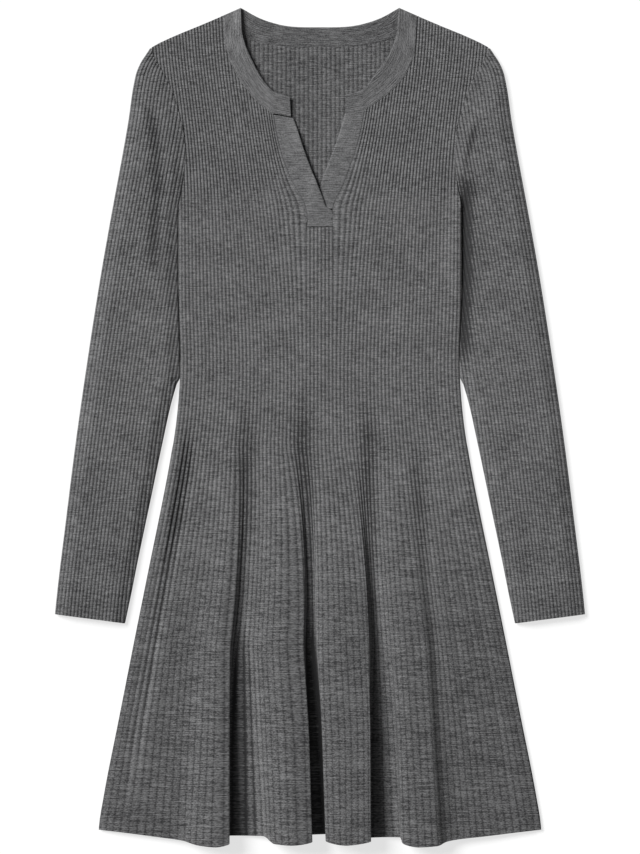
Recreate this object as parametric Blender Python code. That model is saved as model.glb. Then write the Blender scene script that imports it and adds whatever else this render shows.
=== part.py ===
"""Sweater dress in rib knit, laid flat on its back.

A long-sleeved dress with a round neck, a neckband, a short slit with two plackets, a plain bodice and a
skirt that falls in four deep flutes. It lies on the plane z = 0 with the hem towards -Y, the neck towards
+Y and the front face up, and its origin is on the underside, in the middle of the back.

Sizes are in millimetres until put_in_scene turns them into metres. "down" is the distance below the two
neck points where the shoulders begin, "half" is a distance from the centre line, and "rib" counts the
ribs of the front from its centre line, so that a whole number is a crest and a half number is a groove.
Left and right are those of someone who looks down on the front.
"""

import bmesh
import bpy
import numpy as np

MM = 0.001
LENGTH = 898.0
WALL = 2.0
BAND_WALL = 2.7
GAP = 0.3
EDGE_RISE = 1.8
RIB_RISE = 0.6

BACK_TOP = WALL
FRONT_UNDER = BACK_TOP + GAP
FRONT_TOP = FRONT_UNDER + WALL

LAST_RIB = 37.5
LAST_SHOULDER_RIB = 42.5
SLIT_RIB = 3.5
OUTER_LEAN = 0.38
SLEEVE_RIBS = 22
SLEEVE_CROWN = 3.6
SLEEVE_GAP = 1.0
BACK_SHOULDER_COLUMNS = [117.0, 131.0, 144.2, 147.8, 151.5, 160.0, 170.0, 178.0]

HEM_DOWN = 886.0
SLIT_DOWN = 235.0
WAIST_DOWN = 470.0
ARMPIT_DOWN = 211.7
CHEST_SLANT = 30.0
FRONT_TOUCH = 128.0
BACK_TOUCH = 158.0
TOUCH_REACH = 2.5
BACK_HEM_LIFT = 2.0
HEM_BOW = 5.5
STEP_DOWN = 0.25

# Half width of the body: (down, half)
SIDE = [
    (212, 151.5), (310, 151.4), (400, 150.2), (442, 153.8), (485, 160.3), (528, 168.3), (592, 181.2),
    (678, 198.3), (764, 215.0), (850, 231.6), (881, 236.6), (900, 238.0),
]
# Shoulder line and the outer edge of the sleeve down to the cuff: (down, half)
SLEEVE_OUTER = [
    (43.4, 182.3), (49.9, 186.5), (56.3, 190.8), (69.1, 196.7), (82.0, 199.6), (120.6, 205.3),
    (163.5, 212.8), (206.4, 220.8), (292, 235.9), (378, 249.3), (464, 261.6), (549, 272.3),
    (635, 282.6), (660, 285.0),
]
# Inner edge of the sleeve where it hangs clear of the body: (down, half)
SLEEVE_INNER = [
    (399.3, 152.4), (421, 158.7), (464, 168.3), (528, 181.7), (592, 195.1), (635, 203.7), (660, 209.0),
]
CUFF_OUTER_DOWN = 649.6
CUFF_INNER_DOWN = 659.3
# Seam between body and sleeve: (down, half)
ARMHOLE = [
    (43.4, 182.3), (56.3, 175.8), (71.3, 167.2), (87.4, 159.2), (112.0, 151.2), (131.3, 146.9),
    (158.1, 144.7), (179.6, 145.8), (211.7, 151.2),
]
# Top edge from the neck point to the shoulder tip: (half, down)
SHOULDER = [(84.6, 0.0), (96.5, 4.8), (104.0, 8.4), (125.4, 17.7), (156.5, 30.6), (170.5, 37.0), (182.3, 43.4)]
NECKBAND_END = 104.0
# Seam of the front under the neckband: (half, down)
NECK_SEAM = {
    -1: [(50.4, 113.6), (66.7, 101.3), (80.4, 84.9), (94.3, 62.7), (100.9, 41.3), (104.0, 8.4)],
    1: [(48.0, 110.0), (56.4, 104.1), (75.0, 90.6), (91.9, 71.3), (101.4, 46.6), (104.0, 8.4)],
}
# Free edge of the neckband, from the neck point to the slit: (half, down)
NECK_EDGE = {
    -1: [(84.6, 0.0), (84.5, 19.3), (80.4, 38.5), (72.2, 57.4), (61.2, 76.7), (50.4, 89.1), (32.6, 95.3)],
    1: [(84.6, 0.0), (82.3, 27.3), (75.5, 46.6), (59.0, 71.3), (45.3, 87.7), (27.7, 93.2)],
}
# Edge of the front along the slit, and above it the way in which the nearest rib runs on: (down, half)
SLIT_EDGE = {
    -1: [(0, 56.5), (60, 54.5), (115, 50.0), (161.3, 39.7), (188.9, 28.4), (206.4, 18.2), (219, 14.3), (235, 14.1)],
    1: [(0, 54.0), (60, 52.0), (110, 47.8), (154.3, 37.5), (173.5, 30.9), (191.3, 24.0), (212, 14.4), (235, 14.1)],
}
# Where the neckband ends at the slit, and the seam of the placket under it: (half, down)
BAND_CORNER = {-1: (31.2, 117.4), 1: (27.0, 113.0)}
# Free edge of each placket, as a signed place across: (down, x)
PLACKET_EDGE = {
    -1: [
        (113.4, -30.1), (128.1, -24.7), (148.0, -18.4), (171.0, -10.0), (190.6, -1.9), (206.0, 4.2),
        (213.4, 7.2), (217.0, 12.3), (220.0, 13.3), (226.0, 13.5), (235.0, 13.5),
    ],
    1: [(113.3, 26.6), (132.4, 21.3), (162.4, 10.4), (191.4, 0.0), (214.0, -4.0)],
}
# Heights of the placket's sections, and of the sewn end of the first one
PLACKET_DOWNS = {
    -1: [118.0, 123, 133, 148, 163, 178, 188, 197, 206, 213.4, 218, 226, 234.6],
    1: [113.5, 122, 132, 143, 154, 165, 176, 187, 197, 206, 213.4],
}
PLACKET_SEWN_TOP = {-1: 114.6, 1: 111.0}
TAB_DOWN = 214.2
# Back neck: seam under the band and the band's free edge: (half, down)
BACK_SEAM = [(0.0, 42.0), (43.0, 40.3), (80.0, 31.0), (95.0, 20.5), (104.0, 8.4)]
BACK_EDGE = [(0.0, 20.6), (43.0, 17.8), (64.3, 11.0), (84.6, 0.0)]

# Lines that the skirt folds along, each on one rib all the way up: name, rib, place across at three
# heights (down 680, 770 and 886), how far the cloth stands up there (down 680 and 886), and how far its
# hem hangs below the hem's own bow.
FOLD_COLUMNS = ("line", "rib", "x_680", "x_770", "x_886", "rise_680", "rise_886", "hang")
FOLD_LINES = [
    ("left slope", -34.5, -182.0, -198.0, -214.0, 1.0, 2.0, 1.5),
    ("left plain", -29.5, -153.0, -161.0, -170.0, 2.0, 3.0, 5.5),
    ("flute 1 foot", -27.0, -138.0, -144.0, -149.0, 3.0, 5.0, 7.6),
    ("flute 1 rise", -24.0, -120.0, -123.0, -129.0, 8.0, 17.0, 12.0),
    ("flute 1 crest", -22.0, -108.0, -109.0, -111.0, 11.0, 20.0, 13.2),
    ("flute 1 edge", -20.9, -96.5, -96.5, -96.5, 10.0, 19.5, 9.0),
    ("valley 1 wall", -19.2, -92.0, -93.0, -93.0, 1.5, 1.5, 2.0),
    ("valley 1 floor", -17.6, -82.0, -81.0, -80.0, 0.0, 0.0, 1.4),
    ("flute 2 foot", -15.6, -72.0, -68.0, -62.0, 2.0, 3.0, 1.4),
    ("flute 2 rise", -12.6, -58.0, -53.0, -48.0, 9.0, 19.0, 8.8),
    ("flute 2 crest", -10.0, -40.0, -33.0, -29.0, 14.0, 25.0, 9.8),
    ("flute 2 edge", -7.6, -19.5, -12.5, -8.5, 13.0, 23.0, 5.6),
    ("valley 2 wall", -5.6, -16.5, -10.0, -6.0, 2.0, 1.5, 0.0),
    ("valley 2 floor", -4.3, -9.5, -2.5, 2.5, 1.5, 1.0, -1.0),
    ("flute 3 edge", -1.8, -4.5, 1.0, 5.5, 9.0, 21.0, 4.5),
    ("flute 3 crest", 2.5, 22.0, 27.0, 28.0, 14.0, 25.0, 9.8),
    ("flute 3 far edge", 7.6, 52.0, 54.0, 54.5, 13.0, 23.0, 5.5),
    ("valley 3 wall", 10.6, 56.0, 57.5, 57.5, 2.0, 2.0, 3.4),
    ("valley 3 floor", 12.6, 63.0, 67.0, 70.0, 0.0, 0.0, 2.9),
    ("flute 4 foot", 14.6, 72.0, 79.0, 85.5, 2.0, 4.0, 3.0),
    ("flute 4 edge", 16.2, 79.0, 85.0, 88.5, 6.0, 16.0, 8.8),
    ("flute 4 crest", 18.6, 93.0, 99.0, 106.0, 10.0, 21.0, 13.2),
    ("flute 4 fall", 21.2, 112.0, 118.0, 124.0, 9.0, 17.0, 12.4),
    ("valley 4 floor", 23.6, 123.0, 128.5, 134.0, 3.0, 3.5, 8.4),
    ("right rise", 25.8, 132.0, 141.0, 150.0, 2.0, 2.5, 6.4),
    ("right plain", 29.5, 152.0, 164.0, 176.0, 2.0, 4.0, 4.5),
    ("right slope", 34.2, 180.0, 196.0, 213.0, 1.0, 2.0, 1.5),
]
FOLDS = {name: np.array([row[i + 1] for row in FOLD_LINES]) for i, name in enumerate(FOLD_COLUMNS[1:])}

SKIRT_DOWNS = [886, 828, 770, 725, 680, 620, 555, 490, 400, SLIT_DOWN]
YOKE_STEPS = (0.25, 0.62)
YOKE_ROWS = 6
LEAVES, RETURNS = 3, 4
# Rows of a sleeve: shares of the way from the armhole down to just under the armpit, then on to the cuff
SLEEVE_STEPS_ABOVE = [0.0, 0.3, 0.65, 1.0]
SLEEVE_STEPS_BELOW = [0.12, 0.32, 0.54, 0.77, 1.0]
SLEEVE_KNEE_DOWN = 215.0
# How far from its long edges, and from its top, a sleeve reaches its full height
CROWN_WIDTH = 16.0
CROWN_REACH = 60.0

MATERIALS = {
    "rib_knit": ((0.125, 0.125, 0.128), 0.95),
    "plain_knit": ((0.115, 0.115, 0.118), 0.95),
}


def smooth(table, at):
    """A smooth curve through the rows of a table, read at the first column: a cubic between each two rows
    with the slope that the neighbouring rows give it."""
    xs, ys = np.array(table, float).T
    slopes = np.gradient(ys, xs)
    at = np.clip(at, xs[0], xs[-1])
    i = np.clip(np.searchsorted(xs, at, side="right") - 1, 0, len(xs) - 2)
    span = xs[i + 1] - xs[i]
    t = (at - xs[i]) / span
    return (
        ys[i] * (1 + 2 * t) * (1 - t) ** 2
        + ys[i + 1] * t**2 * (3 - 2 * t)
        + span * (slopes[i] * t * (1 - t) ** 2 - slopes[i + 1] * t**2 * (1 - t))
    )


def ease(value, start, end):
    """0 before start, 1 after end, and a smooth step between them."""
    t = np.clip((value - start) / (end - start), 0.0, 1.0)
    return t * t * (3 - 2 * t)


def shares_along(points):
    """How far along a line each of its points lies, from 0 to 1."""
    run = np.concatenate([[0.0], np.cumsum(np.linalg.norm(np.diff(points, axis=0), axis=1))])
    return run / run[-1]


def along_line(table, shares):
    """Points of the smooth line through a table's points, at shares of its length."""
    points = np.array(table, float)
    run = shares_along(points)
    return np.stack([smooth(np.stack([run, column], axis=1), shares) for column in points.T], axis=1)


def shifted(points, distance):
    """A line of points (x, down) moved by a distance along the normal at each point, which points up the
    dress where the line runs to the right."""
    along = np.gradient(points, axis=0)
    along /= np.linalg.norm(along, axis=1, keepdims=True)
    return points + distance * np.stack([along[:, 1], -along[:, 0]], axis=1)


def placed(x, down, z):
    """Points of a grid: x across, down from the neck points and z up, as x, y, z."""
    x, down, z = np.broadcast_arrays(x, down, z)
    return np.stack([x, LENGTH / 2 - down, z], axis=-1)


def put_in_scene(name, slot, outer, inner, kept=None, ring=False):
    """A closed wall between two grids of points, rows by columns: both faces of each kept cell, and a rim
    along every edge where the cells end. A ring joins its last column to its first."""
    rows, columns = outer.shape[:2]
    index = np.arange(rows * columns).reshape(rows, columns)
    right = np.roll(index, -1, axis=1)
    corners = np.stack([index[:-1], right[:-1], right[1:], index[1:]], axis=-1)
    corners = corners if ring else corners[:, :-1]
    corners = corners.reshape(-1, 4) if kept is None else corners[kept]
    faces = np.concatenate([corners[:, [0, 1, 2]], corners[:, [0, 2, 3]]])
    edges = np.concatenate([faces[:, [0, 1]], faces[:, [1, 2]], faces[:, [2, 0]]])
    backwards = set(map(tuple, edges[:, ::-1].tolist()))
    rim = np.array([edge for edge in edges.tolist() if tuple(edge) not in backwards])
    under = rows * columns
    a, b = rim[:, 0], rim[:, 1]
    faces = np.concatenate(
        [
            faces,
            faces[:, ::-1] + under,
            np.stack([b, a, a + under], axis=1),
            np.stack([b, a + under, b + under], axis=1),
        ]
    )
    points = np.concatenate([outer.reshape(-1, 3), inner.reshape(-1, 3)]) * MM
    used, faces = np.unique(faces, return_inverse=True)
    mesh = bpy.data.meshes.new(name)
    mesh.from_pydata(points[used].tolist(), [], faces.reshape(-1, 3).tolist())
    shell = bmesh.new()
    shell.from_mesh(mesh)
    bmesh.ops.recalc_face_normals(shell, faces=shell.faces)
    shell.to_mesh(mesh)
    shell.free()
    mesh.shade_smooth()
    mesh.set_sharp_from_angle(angle=np.radians(40))
    mesh.materials.append(bpy.data.materials[slot])
    piece = bpy.data.objects.new(name, mesh)
    bpy.data.collections["sweater_dress"].objects.link(piece)
    return piece


def neck_and_shoulder(x, seam):
    """How far down the top edge of a panel is at each place across: its neck seam, then the shoulder. The
    seam is nearly upright beside the shoulder, so it is smoothed along its length, not across."""
    half = np.abs(x)
    halves, downs = along_line(seam, np.linspace(0.0, 1.0, 60)).T
    return np.where(half < NECKBAND_END, np.interp(half, halves, downs), smooth(SHOULDER, half))


def yoke_downs(across, starts, seam, touch):
    """Heights of the yoke's rows on each column above the chest, and which columns cross the armhole. The
    third row is where a column leaves the body at the armhole, the fourth where it comes back in above it,
    and on a column that never leaves they lie just under and over touch, the height at which the last such
    column touches the armhole. The last row is the top edge. across(down) gives every column's place."""
    downs = np.arange(SLIT_DOWN + CHEST_SLANT, -0.01, -STEP_DOWN)
    xs = np.array([across(down) for down in downs])
    past = (np.abs(xs) > smooth(ARMHOLE, downs)[:, None] - 1e-6) & (downs[:, None] < ARMPIT_DOWN)
    crosses = past.any(axis=0)
    leaves = downs[np.maximum(np.argmax(past, axis=0) - 1, 0)]
    returns = downs[len(downs) - np.argmax(past[::-1], axis=0) - 1] - STEP_DOWN
    leaves = np.where(crosses, np.maximum(leaves, touch + TOUCH_REACH), touch + TOUCH_REACH)
    returns = np.where(crosses, np.minimum(returns, touch - TOUCH_REACH), touch - TOUCH_REACH)
    above = (downs[:, None] < returns) & (downs[:, None] <= neck_and_shoulder(xs, seam))
    tops = np.where(above.any(axis=0), downs[np.argmax(above, axis=0)], returns)
    low, middle = (starts + (leaves - starts) * step for step in YOKE_STEPS)
    return np.array([low, middle, leaves, returns, (returns + tops) / 2, tops]), crosses


def rib_places(rib, down, side):
    """Places across of the front's ribs above the waist: evenly spaced over the width, and on one side of
    the slit (-1 or 1) leaning away from it, most beside it and least at the side seam."""
    pitch = smooth(SIDE, np.maximum(down, ARMPIT_DOWN)) / LAST_RIB
    lean = smooth(SLIT_EDGE[side], np.minimum(down, SLIT_DOWN)) - SLIT_RIB * smooth(SIDE, SLIT_DOWN) / LAST_RIB
    lean *= 1 - ease(down, SLIT_DOWN, SLIT_DOWN + 60)
    share = 1 - (1 - OUTER_LEAN) * (side * rib - SLIT_RIB) / (LAST_RIB - SLIT_RIB)
    half = side * rib * pitch + lean * np.clip(share, 0.0, 1.0)
    at_side = (down >= ARMPIT_DOWN) & (np.abs(rib) <= LAST_RIB)
    return side * np.where(at_side, np.minimum(half, smooth(SIDE, down)), half)


def skirt_section(rib, down):
    """One section across the skirt: places across, rises and hangs of the ribs at a height below the
    waist. The fold lines carry all three, and the ribs between two lines are spread evenly. Above 680 a
    line moves off its rib's plain place by a share of how far it lies from it at 680."""
    tabled = max(down, 680.0)
    lines = np.stack([FOLDS["x_680"], FOLDS["x_770"], FOLDS["x_886"]], axis=1)
    folded = np.array([np.interp(tabled, [680.0, 770.0, 886.0], x) for x in lines])
    begun = np.clip((down - WAIST_DOWN) / (680 - WAIST_DOWN), 0.0, 1.0)
    moved = folded - FOLDS["rib"] * smooth(SIDE, tabled) / LAST_RIB
    x_lines = FOLDS["rib"] * smooth(SIDE, down) / LAST_RIB + (1 - (1 - begun) ** 2) * moved
    deeper = np.clip((down - 680) / (HEM_DOWN - 680), 0.0, 1.0)
    rises = begun * FOLDS["rise_680"] + deeper * (FOLDS["rise_886"] - FOLDS["rise_680"])
    edge = smooth(SIDE, down)
    ribs = np.concatenate([[-LAST_RIB], FOLDS["rib"], [LAST_RIB]])
    return (
        np.interp(rib, ribs, np.concatenate([[-edge], x_lines, [edge]])),
        np.interp(rib, ribs, np.concatenate([[0.0], rises, [0.0]])),
        np.interp(rib, ribs, np.concatenate([[0.0], FOLDS["hang"], [0.0]])),
    )


def hem_drop(x, hang, down):
    """How much further down a point of the skirt lies, so that the hem bows and each flute hangs lower."""
    at_hem = hang - HEM_BOW * (x / SIDE[-2][1]) ** 2
    return at_hem * np.clip((down - WAIST_DOWN) / (HEM_DOWN - WAIST_DOWN), 0.0, 1.0)


def side_round(rib):
    """How much the outer face drops beside the side seams, where the cloth turns under."""
    return 1.2 * ease(np.abs(rib), LAST_RIB - 1.2, LAST_RIB)


def panel_grid(columns, last, lower, yoke, starts, seam, touch, slit=0.0):
    """Points x, down and rises of a panel, rows from the hem to the top edge, and its kept cells. columns
    number the panel's columns, and those past last lie only beside the shoulder, above the armhole.
    lower(down) gives places, heights and rises of a row below the yoke, yoke(side, down) places in it, and
    the columns within slit stop at the yoke's foot."""
    rows = [lower(down) for down in SKIRT_DOWNS]
    x, down, rise = (np.array([row[i] for row in rows]) for i in range(3))
    yoke_x, yoke_down = np.zeros((YOKE_ROWS, len(columns))), np.zeros((YOKE_ROWS, len(columns)))
    crosses = np.zeros(len(columns), bool)
    for side in (-1, 1):
        on = side * columns >= slit
        yoke_down[:, on], crosses[on] = yoke_downs(
            lambda at: yoke(side, columns[on], at), starts[on], seam[side], touch
        )
        yoke_x[:, on] = yoke(side, columns[on], yoke_down[:, on])
    x, down = np.concatenate([x, yoke_x]), np.concatenate([down, yoke_down])
    rise = np.concatenate([rise, np.zeros_like(yoke_x)])
    middle = np.abs(columns[1:] + columns[:-1]) / 2
    kept = np.ones((len(x) - 1, len(columns) - 1), bool)
    first = len(SKIRT_DOWNS) - 1
    kept[: first + LEAVES, middle > last] = False
    kept[first:, middle < slit] = False
    kept[first + LEAVES, crosses[1:] | crosses[:-1]] = False
    short = yoke_down[RETURNS - 1] - yoke_down[-1] < 1.5
    kept[first + RETURNS :, short[1:] | short[:-1]] = False
    return x, down, rise, kept


def front_grids():
    """The front's outer and inner points, its kept cells and the rib number of each column."""
    rib = np.arange(-LAST_SHOULDER_RIB, LAST_SHOULDER_RIB + 0.25, 0.5)
    slant = CHEST_SLANT * np.clip((np.abs(rib) - SLIT_RIB) / (LAST_RIB - SLIT_RIB), 0.0, 1.0)

    def lower(down):
        if down > WAIST_DOWN:
            x, rise, hang = skirt_section(rib, down)
        else:
            x, rise, hang = rib * smooth(SIDE, down) / LAST_RIB, np.zeros_like(rib), 0.0
        return x, down + hem_drop(x, hang, down) + slant * (1 - ease(down, SLIT_DOWN, 440)), rise

    def yoke(side, columns, down):
        return rib_places(columns, down, side)

    x, down, rise, kept = panel_grid(
        rib, LAST_RIB, lower, yoke, SLIT_DOWN + slant, NECK_SEAM, FRONT_TOUCH, SLIT_RIB
    )
    base = FRONT_TOP + rise - side_round(rib) * (np.arange(len(x)) < len(SKIRT_DOWNS))[:, None]
    normal = np.stack([-np.gradient(base, axis=1), np.maximum(np.gradient(x, axis=1), 1e-6)], axis=-1)
    normal /= np.linalg.norm(normal, axis=-1, keepdims=True)
    normal[:, np.abs(rib) >= LAST_RIB] = (0.0, 1.0)
    normal[len(SKIRT_DOWNS) :] = (0.0, 1.0)
    crest = RIB_RISE * (np.abs(rib % 1.0) < 0.25)
    outer = placed(x + crest * normal[..., 0], down, base + crest * normal[..., 1])
    under = np.maximum(base - WALL * normal[..., 1], FRONT_UNDER)
    return outer, placed(x - WALL * normal[..., 0], down, under), kept, rib


def back_grids():
    """The back's upper and under points, its kept cells and its columns, by their place at the chest."""
    columns = np.concatenate([np.linspace(0.0, NECKBAND_END, 9), BACK_SHOULDER_COLUMNS])
    columns = np.concatenate([-columns[:0:-1], columns])
    share = columns / SIDE[0][1]
    slant = CHEST_SLANT * np.clip(np.abs(share), 0.0, 1.0)

    def lower(down):
        x = share * smooth(SIDE, down)
        at = down - BACK_HEM_LIFT * (down > WAIST_DOWN) + hem_drop(x, 0.0, down)
        return x, at + slant * (1 - ease(down, SLIT_DOWN, 440)), np.zeros_like(x)

    def yoke(side, columns, down):
        return np.broadcast_to(columns, np.broadcast(columns, down).shape)

    seams = {-1: BACK_SEAM, 1: BACK_SEAM}
    x, down, _, kept = panel_grid(columns, SIDE[0][1], lower, yoke, SLIT_DOWN + slant, seams, BACK_TOUCH)
    top = BACK_TOP - 0.8 * (np.abs(share) > 0.99)
    return placed(x, down, top), placed(x, down, 0.0), kept, columns


def edge_points(grid, columns, row=-1):
    """The points x, down of a panel's top row, or another one, in some of its columns."""
    return np.stack([grid[row, columns, 0], LENGTH / 2 - grid[row, columns, 1]], axis=1)


def strip(name, slot, edge_a, edge_b, under, wall, rise=0.0, lift=None):
    """A flat band between two lines of points, across four cells, its long edges a little rounded. rise
    gives how far edge_b curls up, in all or at each of its points, and lift how far each point of the band
    is raised besides."""
    across = np.array([0.0, 0.12, 0.5, 0.88, 1.0])
    flat = edge_a[:, None] * (1 - across[:, None]) + edge_b[:, None] * across[:, None]
    up = np.broadcast_to(rise, len(edge_a))[:, None] * across**2
    up = up if lift is None else up + lift(flat[..., 0], flat[..., 1])
    rounded = 0.5 * (np.abs(across - 0.5) > 0.49)
    x, down = flat[..., 0], flat[..., 1]
    return put_in_scene(name, slot, placed(x, down, under + wall - rounded + up), placed(x, down, under + up))


def neckband_front(side, outer, rib):
    """Half of the front neckband: its outer edge follows the front's neck seam and then crosses the
    placket's top to the slit."""
    seam = edge_points(outer, side * rib >= SLIT_RIB)
    seam = seam[::side][np.abs(seam[::side, 0]) <= NECKBAND_END]
    seam = np.vstack([seam, [side * NECKBAND_END, SHOULDER[2][1]]])
    seam = seam[::-1] if np.abs(seam[0, 0]) < np.abs(seam[-1, 0]) else seam
    corner_x, corner_down = BAND_CORNER[side]
    across_placket = np.linspace(seam[-1], [side * corner_x, corner_down], 5)[1:]
    line = shifted(np.vstack([seam, across_placket]), -side * GAP)
    line[0] = [side * (NECKBAND_END - GAP), SHOULDER[2][1]]
    shares = shares_along(line)
    free = along_line(NECK_EDGE[side], shares) * [side, 1.0]
    name = f"neckband_front_{'left' if side < 0 else 'right'}"
    return strip(name, "plain_knit", line, free, FRONT_UNDER, BAND_WALL, EDGE_RISE * ease(shares, 0.0, 0.3))


def neckband_back(outer, columns):
    """The back neckband: from shoulder to shoulder between the back's neck seam and its free edge."""
    seam = edge_points(outer, np.abs(columns) < NECKBAND_END)
    ends = np.array([[NECKBAND_END, SHOULDER[2][1]]])
    seam = np.vstack([ends * [-1, 1], seam, ends])
    free_edge = [(-half, down) for half, down in BACK_EDGE[:0:-1]] + BACK_EDGE
    line = shifted(seam, GAP)
    line[[0, -1], 0] = seam[[0, -1], 0] - GAP * np.sign(seam[[0, -1], 0])
    line[[0, -1], 1] = seam[[0, -1], 1]
    return strip("neckband_back", "plain_knit", line, along_line(free_edge, shares_along(line)), 0.0, WALL)


def placket(side, outer, rib):
    """One placket, from the neckband to the foot of the slit. The left one ends in a square tab that fills
    the foot of the slit, and its free edge curls up and then rises over the right one."""
    column = np.argmin(np.abs(rib - side * SLIT_RIB))
    slit = outer[len(SKIRT_DOWNS) - 1 :, column]
    slit_downs = LENGTH / 2 - slit[:, 1]
    downs = np.union1d(PLACKET_DOWNS[side], slit_downs[(slit_downs > 120) & (slit_downs < 212)])
    sewn_downs = np.concatenate([[PLACKET_SEWN_TOP[side]], downs[1:]])
    sewn = np.interp(sewn_downs, slit_downs[::-1], slit[::-1, 0]) - side * GAP
    free = smooth(PLACKET_EDGE[side], downs)

    def lift(x, down):
        over = ease(x, smooth(PLACKET_EDGE[1], down) - 13.0, smooth(PLACKET_EDGE[1], down) - 4.5)
        return (WALL + GAP) * over * ease(down, 160.0, 185.0) * (1 - ease(down, TAB_DOWN, TAB_DOWN + 3.5))

    edges = np.stack([sewn, sewn_downs], axis=1), np.stack([free, downs], axis=1)
    if side > 0:
        return strip("placket_right", "plain_knit", *edges, FRONT_UNDER, WALL)
    rise = EDGE_RISE * ease(downs, downs[0], downs[0] + 25.0) * (1 - ease(downs, 185.0, 205.0))
    return strip("placket_left", "plain_knit", *edges, FRONT_UNDER, WALL, rise, lift)


def armhole_line(grid, columns, last, side):
    """The armhole edge that a panel's columns really make, as a function from down to half width."""
    chest = len(SKIRT_DOWNS) - 1
    points = np.vstack(
        [
            edge_points(grid, (side * columns > 0.85 * last) & (side * columns <= last), chest + LEAVES),
            edge_points(grid, side * columns > 0.85 * last, chest + RETURNS),
        ]
    )
    points = np.abs(points)
    points = points[points[:, 0] > smooth(ARMHOLE, points[:, 1]) - 2.5]
    points = points[np.argsort(points[:, 1])]
    return lambda down: np.interp(down, points[:, 1], points[:, 0])


def sleeve(side, body_edge, armholes):
    """One sleeve, a flattened tube with air in it: ribbed columns over the top from its outer to its inner
    edge, then a few under it. Each column starts at the armhole and keeps its share of the width down to the cuff. All
    of them have a row just under the armpit, where the body beside them bends."""
    body_downs, body_halves = LENGTH / 2 - body_edge[:, 1], side * body_edge[:, 0]
    top_share = np.linspace(0.0, 1.0, 2 * SLEEVE_RIBS + 1)
    under_share = np.array([0.97, 0.75, 0.5, 0.25, 0.03])
    share = np.concatenate([top_share, under_share])
    on_top = np.arange(len(share)) < len(top_share)

    def width(down):
        edge = np.interp(np.maximum(down, ARMPIT_DOWN), body_downs[::-1], body_halves[::-1]) + 4 * GAP
        free = np.where(down > SLEEVE_INNER[0][0], smooth(SLEEVE_INNER, down), 0.0)
        return smooth(SLEEVE_OUTER, np.maximum(down, ARMPIT_DOWN)) - np.maximum(edge, free)

    def across(down, inset):
        return smooth(SLEEVE_OUTER, down) - inset - share * (width(down) - 2 * inset)

    def tops(inset):
        downs = np.arange(ARMPIT_DOWN + 30.0, ARMHOLE[0][0] - 0.01, -STEP_DOWN)
        seam = np.maximum(*(armhole(downs) for armhole in armholes))[:, None]
        limit = np.where(downs[:, None] > ARMPIT_DOWN, 0.0, seam + GAP * np.where(on_top, 1.5, 3.0))
        clear = np.array([across(down, inset) for down in downs]) > limit
        return downs[np.logical_and.accumulate(clear, axis=0).sum(axis=0) - 1]

    cuffs = CUFF_OUTER_DOWN + (CUFF_INNER_DOWN - CUFF_OUTER_DOWN) * share

    def rows(top):
        above = top + (SLEEVE_KNEE_DOWN - top) * np.array(SLEEVE_STEPS_ABOVE)[:, None]
        below = SLEEVE_KNEE_DOWN + (cuffs - SLEEVE_KNEE_DOWN) * np.array(SLEEVE_STEPS_BELOW)[:, None]
        return np.concatenate([above, below])

    down, inner_down = rows(tops(0.0)), rows(tops(WALL + GAP))
    from_edge = np.minimum(share, 1 - share) * width(down)
    crown = SLEEVE_CROWN * ease(from_edge, 0.0, CROWN_WIDTH) * ease(down - down[0], 0.0, CROWN_REACH)
    shoulder = np.sqrt(1 - (1 - np.clip(from_edge / 3.0, 0.0, 1.0)) ** 2)
    middle = WALL + SLEEVE_GAP / 2
    top_z = middle + middle * shoulder + crown + RIB_RISE * (np.arange(len(share)) % 2 == 1)
    inner_top = np.where((share == 0) | (share == 1), middle, WALL + SLEEVE_GAP + crown)
    outer = placed(side * across(down, 0.0), down, np.where(on_top, top_z, 0.0))
    inner = placed(side * across(inner_down, WALL + GAP), inner_down, np.where(on_top, inner_top, WALL))
    name = f"sleeve_{'left' if side < 0 else 'right'}"
    return put_in_scene(name, "rib_knit", outer, inner, ring=True)


def main():
    for thing in list(bpy.data.objects):
        bpy.data.objects.remove(thing)
    bpy.context.scene.collection.children.link(bpy.data.collections.new("sweater_dress"))
    for name, (colour, roughness) in MATERIALS.items():
        material = bpy.data.materials.new(name)
        material.use_nodes = True
        shader = material.node_tree.nodes["Principled BSDF"]
        shader.inputs["Base Color"].default_value = (*colour, 1.0)
        shader.inputs["Roughness"].default_value = roughness
        shader.inputs["Metallic"].default_value = 0.0
    outer, inner, kept, rib = front_grids()
    back_outer, back_under, back_kept, columns = back_grids()
    put_in_scene("front_panel", "rib_knit", outer, inner, kept)
    put_in_scene("back_panel", "rib_knit", back_outer, back_under, back_kept)
    neckband_back(back_outer, columns)
    for side in (-1, 1):
        neckband_front(side, outer, rib)
        placket(side, outer, rib)
        body_edge = outer[: len(SKIRT_DOWNS) + LEAVES, np.argmin(np.abs(rib - side * LAST_RIB))]
        armholes = armhole_line(outer, rib, LAST_RIB, side), armhole_line(back_outer, columns, SIDE[0][1], side)
        sleeve(side, body_edge, armholes)


main()
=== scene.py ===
"""Sweater dress in dark grey melange rib knit, laid flat on its back.

Each knitted piece is a thin closed shell on its solid's form, with every rib raised, and it replaces that
solid. Sizes are in millimetres until a mesh is made. "down" is the distance below the two neck points,
"half" a distance from the centre line, and "rib" counts the front's ribs from its centre line, so that a
whole number is a crest and a half number a groove. Left and right are those of someone who looks down on
the front.
"""

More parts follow.
